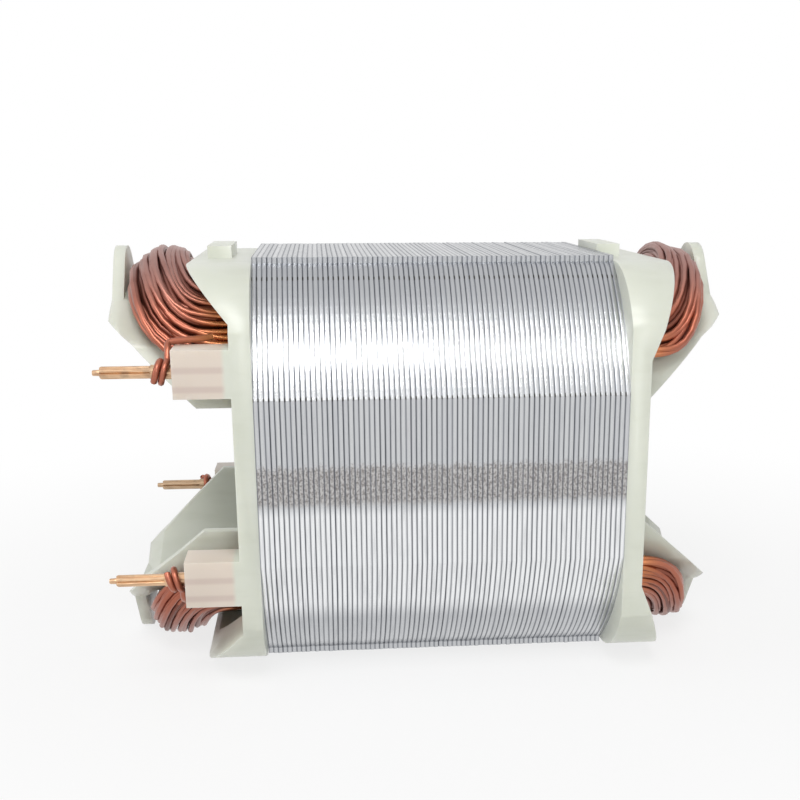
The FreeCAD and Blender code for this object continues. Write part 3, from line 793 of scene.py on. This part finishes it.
def add_floor(color):
    """A wide square at the level of the part's lowest points."""
    low, half = float(FRAME_LOW[2]), FLOOR_HALF
    corners = np.array([(-half, -half, low), (half, -half, low),
                        (half, half, low), (-half, half, low)])
    floor = add_mesh("floor", corners, [np.arange(4)[None, :]], smooth=False)
    dress(floor, floor_material(color))
    floor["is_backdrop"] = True


def add_lamp(name, place, turn, size, power):
    """A square area light."""
    light = bpy.data.lights.new(name, "AREA")
    light.shape = "SQUARE"
    light.size = size
    light.energy = power
    lamp = bpy.data.objects.new(name, light)
    lamp.location = place
    lamp.rotation_euler = Euler([math.radians(angle) for angle in turn])
    bpy.context.scene.collection.objects.link(lamp)


def add_camera(shape):
    """The camera, level from side to side and shifted so that the part sits low in its view."""
    lens = bpy.data.cameras.new("camera")
    lens.sensor_width = SENSOR_WIDTH
    lens.lens = shape.lens
    lens.shift_x, lens.shift_y = CAMERA_SHIFT
    lens.clip_start = 0.01
    camera = bpy.data.objects.new("camera", lens)
    camera.location = shape.camera
    camera.rotation_euler = Euler((math.pi / 2 - shape.pitch, 0, -shape.yaw))
    bpy.context.scene.collection.objects.link(camera)
    bpy.context.scene.camera = camera


# ---------------------------------------------------------------- settings

def distance(name, millimetres, text):
    """A setting in metres, with its default in millimetres."""
    return bpy.props.FloatProperty(name=name, description=text, default=millimetres * MM, min=0,
                                   subtype="DISTANCE", unit="LENGTH", precision=5)


def tone(name, color, text):
    """A colour setting."""
    return bpy.props.FloatVectorProperty(name=name, description=text, default=rgba(*color), size=4,
                                         min=0, max=1, subtype="COLOR")


def share(name, value, text, least=0, most=1):
    """A setting without a unit, usually from nought to one."""
    return bpy.props.FloatProperty(name=name, description=text, default=value, min=least,
                                   soft_max=most, subtype="FACTOR")


def number(name, value, text, least, most):
    """A whole number of things."""
    return bpy.props.IntProperty(name=name, description=text, default=value, min=least, max=most,
                                 subtype="UNSIGNED")


def turned(name, degrees, text):
    """An angle setting, with its default in degrees."""
    return bpy.props.FloatProperty(name=name, description=text, default=math.radians(degrees),
                                   subtype="ANGLE", unit="ROTATION")


class StatorSheetSettings(bpy.types.PropertyGroup):
    """The pack of sheets, with its punched window"""
    sheet_pitch: distance("Sheet pitch", 0.5, "Thickness of one sheet")
    edge_groove: distance("Edge groove", 0.07, "How far the rim is drawn in at each joint")
    sheet_jitter: distance("Sheet jitter", 0.012, "How far sheets sit out of line")
    round_radius: distance("Corner radius", 24.15, "Radius of the rim's round corners")
    flat_reach: distance("Flat reach", 22.68, "From the axis to the upright flats")
    crown_reach: distance("Crown reach", 13.0, "Half the width of the raised flat top")
    crown_height: distance("Crown height", 20.96, "From the axis to the flat top")
    bore: distance("Bore radius", 14.2, "Radius of the pole faces")
    shoe_back: distance("Shoe back radius", 16.7, "Radius of the backs of the pole shoes")
    yoke_bore: distance("Yoke bore radius", 19.9, "Radius of the yoke's inner wall")
    core_reach: distance("Core reach", 6.5, "Half the width of a pole core")
    tip_height: distance("Tip height", 8.0, "Height of the pole tips above the axis")
    color: tone("Steel", (0.62, 0.63, 0.64), "Colour of the sheared edges")
    wear: share("Torn band", 0.85, "How much of the dark torn band shows")


class StatorCoilSettings(bpy.types.PropertyGroup):
    """Both field coils"""
    wire_diameter: distance("Wire diameter", 0.66, "Diameter over the enamel")
    wire_layers: number("Layers", 8, "Layers of wire", 2, 12)
    wire_columns: number("Columns", 11, "Wires in a layer", 4, 24)
    coil_inner: distance("Inner radius", 17.47, "Radius of the innermost wires in a slot")
    coil_outer: distance("Outer radius", 19.13, "Radius of the outermost wires in a slot")
    coil_core: distance("Core side", 7.27, "From the middle plane to the wires beside the core")
    coil_mouth: distance("Mouth side", 11.07, "Height of the last wires, beside the slot's mouth")
    coil_foot: distance("Leg end", 2.1, "How far past the sheets the turn begins")
    core_gap: distance("Core gap", 7.27, "From the sheets to the turn's inner wires")
    lip_gap: distance("Lip gap", 2.07, "From the lip's end back to the turn's outer wires")
    bulge: distance("Bulge", 3.6, "How far the turn swells outwards")
    wander: share("Wander", 0.17, "How far the strands stray and cross")
    color: tone("Enamel", (0.36, 0.10, 0.055), "Colour of the enamelled wire")
    gloss: share("Gloss", 0.1, "Weight of the clear enamel's gloss")


class StatorTerminalSettings(bpy.types.PropertyGroup):
    """The pins and their leads"""
    pin_reach: distance("Pin reach", 20.38, "From the middle plane to a pin's axis")
    pin_height: distance("Pin height", 10.35, "Half the height between upper and lower pins' axes")
    pin_offset: distance("Pin offset", 0.5, "How far all the pins are raised from even heights")
    pin_radius: distance("Pin radius", 0.6, "Radius of a pin's free end")
    pin_root: distance("Root radius", 0.7, "Radius that the lead's turns lie on")
    pin_start: distance("Pin start", 2.2, "From the sheets to a pin's root")
    pin_shoulder: distance("Shoulder", 9.5, "From the sheets to a pin's shoulder")
    pin_end: distance("Pin end", 15.0, "From the sheets to a pin's tip")
    pin_line_depth: share("Groove depth", 0.28, "Depth of the grooves over the pin's radius")
    pin_lines: number("Grooves", 6, "Grooves round a pin", 0, 12)
    pocket_end: distance("Pocket end", 7.4, "From the sheets to a pocket's mouth")
    pocket_height: distance("Pocket height", 4.6, "Outside height of a pocket")
    lead_foot: distance("Lead foot", 18.0, "From the middle plane to where a lead leaves its coil")
    wire_diameter: distance("Wire diameter", 0.66, "Diameter of a lead")
    wrap_turns: share("Wraps", 1.4, "Turns of a lead round its pin", 1, 3)
    color: tone("Pin metal", (0.74, 0.50, 0.31), "Colour of the pins")


class StatorPlasticSettings(bpy.types.PropertyGroup):
    """The insulators and the slot liners"""
    edge: distance("Edge radius", 0.14, "How much the mouldings' edges are rounded")
    color: tone("Nylon", (0.68, 0.70, 0.615), "Colour of the moulded insulators")
    glow: share("See-through", 0.35, "How much light passes through the nylon")
    paper: tone("Paper", (0.80, 0.78, 0.70), "Colour of the slot liners")


class StatorStageSettings(bpy.types.PropertyGroup):
    """The camera, the lights and the floor"""
    camera: bpy.props.FloatVectorProperty(
        name="Camera", description="Where the camera stands", size=3, subtype="TRANSLATION",
        unit="LENGTH", default=(-11.87 * MM, -142.41 * MM, 28.86 * MM))
    pitch: turned("Pitch", 17.19, "How far the camera looks down")
    yaw: turned("Yaw", 5.93, "How far the camera looks to the right")
    lens: bpy.props.FloatProperty(name="Lens", description="Focal length", default=56.72, min=10,
                                  subtype="DISTANCE_CAMERA")
    lamp_power: bpy.props.FloatProperty(
        name="Lamp power", description="Power that each lamp has its own multiple of",
        default=0.55, min=0, unit="POWER")
    surround: share("Surround", 0.4, "Strength of the surround as a light")
    floor: tone("Floor", (0.80, 0.80, 0.80), "Colour of the floor")


# ---------------------------------------------------------------- operators

def settle(piece, material, slot_name, *nodes):
    """Finishes a piece: its material, its body and the CAD nodes that it stands for; the slot name
    is not used.
    """
    dress(piece, material)
    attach(piece, "root")
    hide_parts(*nodes)


class StatorBuildSheets(bpy.types.Operator):
    """Build the pack of punched sheets"""
    bl_idname = "stator.build_sheets"
    bl_label = "Build Sheets"
    bl_options = {"REGISTER", "UNDO"}

    def execute(self, context):
        shape = context.scene.stator_sheets
        pack = sheet_pack(shape, np.random.default_rng(SHEET_SEED))
        steel = steel_material(tuple(shape.color), shape.wear, shape.sheet_pitch)
        settle(pack, steel, "steel", "lamination_stack")
        return {"FINISHED"}


class StatorBuildCoils(bpy.types.Operator):
    """Build both field coils, strand by strand"""
    bl_idname = "stator.build_coils"
    bl_label = "Build Coils"
    bl_options = {"REGISTER", "UNDO"}

    def execute(self, context):
        shape = context.scene.stator_coils
        enamel = copper_material(tuple(shape.color), shape.gloss)
        for place, (name, up) in enumerate((("upper", 1), ("lower", -1))):
            random = np.random.default_rng(COIL_SEED + place)
            coil = coil_wires(f"{name}_winding", up, shape, random)
            settle(coil, enamel, "enamelled_copper", f"{name}_field_coil")
        return {"FINISHED"}


class StatorBuildTerminals(bpy.types.Operator):
    """Build the terminal pins and the leads wrapped round them"""
    bl_idname = "stator.build_terminals"
    bl_label = "Build Terminals"
    bl_options = {"REGISTER", "UNDO"}

    def execute(self, context):
        shape, coils = context.scene.stator_terminals, context.scene.stator_coils
        metal = pin_material(tuple(shape.color))
        enamel = copper_material(tuple(coils.color), coils.gloss)
        for quarter, (side, up) in QUARTERS.items():
            pin = drawn_pin(f"{quarter}_drawn_pin", side, up, shape)
            settle(pin, metal, "pin_brass", f"{quarter}_terminal_pin")
            lead = lead_wire(f"{quarter}_wrapped_lead", side, up, shape)
            settle(lead, enamel, "enamelled_copper", f"{quarter}_coil_lead")
        return {"FINISHED"}


class StatorBuildPlastic(bpy.types.Operator):
    """Build the moulded ends and finish the slot liners"""
    bl_idname = "stator.build_plastic"
    bl_label = "Build Insulators"
    bl_options = {"REGISTER", "UNDO"}

    def execute(self, context):
        shape = context.scene.stator_plastic
        pin_height = context.scene.stator_terminals.pin_height
        nylon = nylon_material(tuple(shape.color), shape.glow, pin_height)
        for node in ("terminal_end_insulator", "plain_end_insulator"):
            settle(soft_edged(node, shape.edge), nylon, "nylon", node)
        paper = paper_material(tuple(shape.paper))
        for quarter in QUARTERS:
            dress(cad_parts[f"{quarter}_slot_liner"], paper)
        return {"FINISHED"}


class StatorBuildStage(bpy.types.Operator):
    """Set the floor, the lights and the camera"""
    bl_idname = "stator.build_stage"
    bl_label = "Build Stage"
    bl_options = {"REGISTER", "UNDO"}

    def execute(self, context):
        shape = context.scene.stator_stage
        add_floor(tuple(shape.floor))
        for name, place, turn, size, multiple in LIGHTS:
            add_lamp(name, place, turn, size, shape.lamp_power * multiple)
        context.scene.world = soft_world(shape.surround)
        add_camera(shape)
        context.scene.view_settings.view_transform = "Standard"
        return {"FINISHED"}


# ---------------------------------------------------------------- add-on

SETTINGS = {"stator_sheets": StatorSheetSettings, "stator_coils": StatorCoilSettings,
            "stator_terminals": StatorTerminalSettings, "stator_plastic": StatorPlasticSettings,
            "stator_stage": StatorStageSettings}
OPERATORS = (StatorBuildSheets, StatorBuildCoils, StatorBuildTerminals, StatorBuildPlastic,
             StatorBuildStage)


class StatorPanel(bpy.types.Panel):
    """Each group of settings with the operator that uses it"""
    bl_idname = "VIEW3D_PT_stator"
    bl_label = "Field Stator"
    bl_space_type = "VIEW_3D"
    bl_region_type = "UI"
    bl_category = "Stator"

    def draw(self, context):
        for (name, group), operator in zip(SETTINGS.items(), OPERATORS):
            box = self.layout.box()
            for key in group.__annotations__:
                box.prop(getattr(context.scene, name), key)
            box.operator(operator.bl_idname)


CLASSES = (*SETTINGS.values(), *OPERATORS, StatorPanel)


def register():
    """Adds the classes, and the settings to every scene."""
    for item in CLASSES:
        bpy.utils.register_class(item)
    for name, group in SETTINGS.items():
        setattr(bpy.types.Scene, name, bpy.props.PointerProperty(type=group))


def unregister():
    """Takes the settings and the classes away again."""
    for name in SETTINGS:
        delattr(bpy.types.Scene, name)
    for item in reversed(CLASSES):
        bpy.utils.unregister_class(item)


def main():
    """Registers the add-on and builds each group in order."""
    register()
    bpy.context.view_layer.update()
    for operator in OPERATORS:
        group, action = operator.bl_idname.split(".")
        getattr(getattr(bpy.ops, group), action)()


if __name__ == "__main__":
    main()
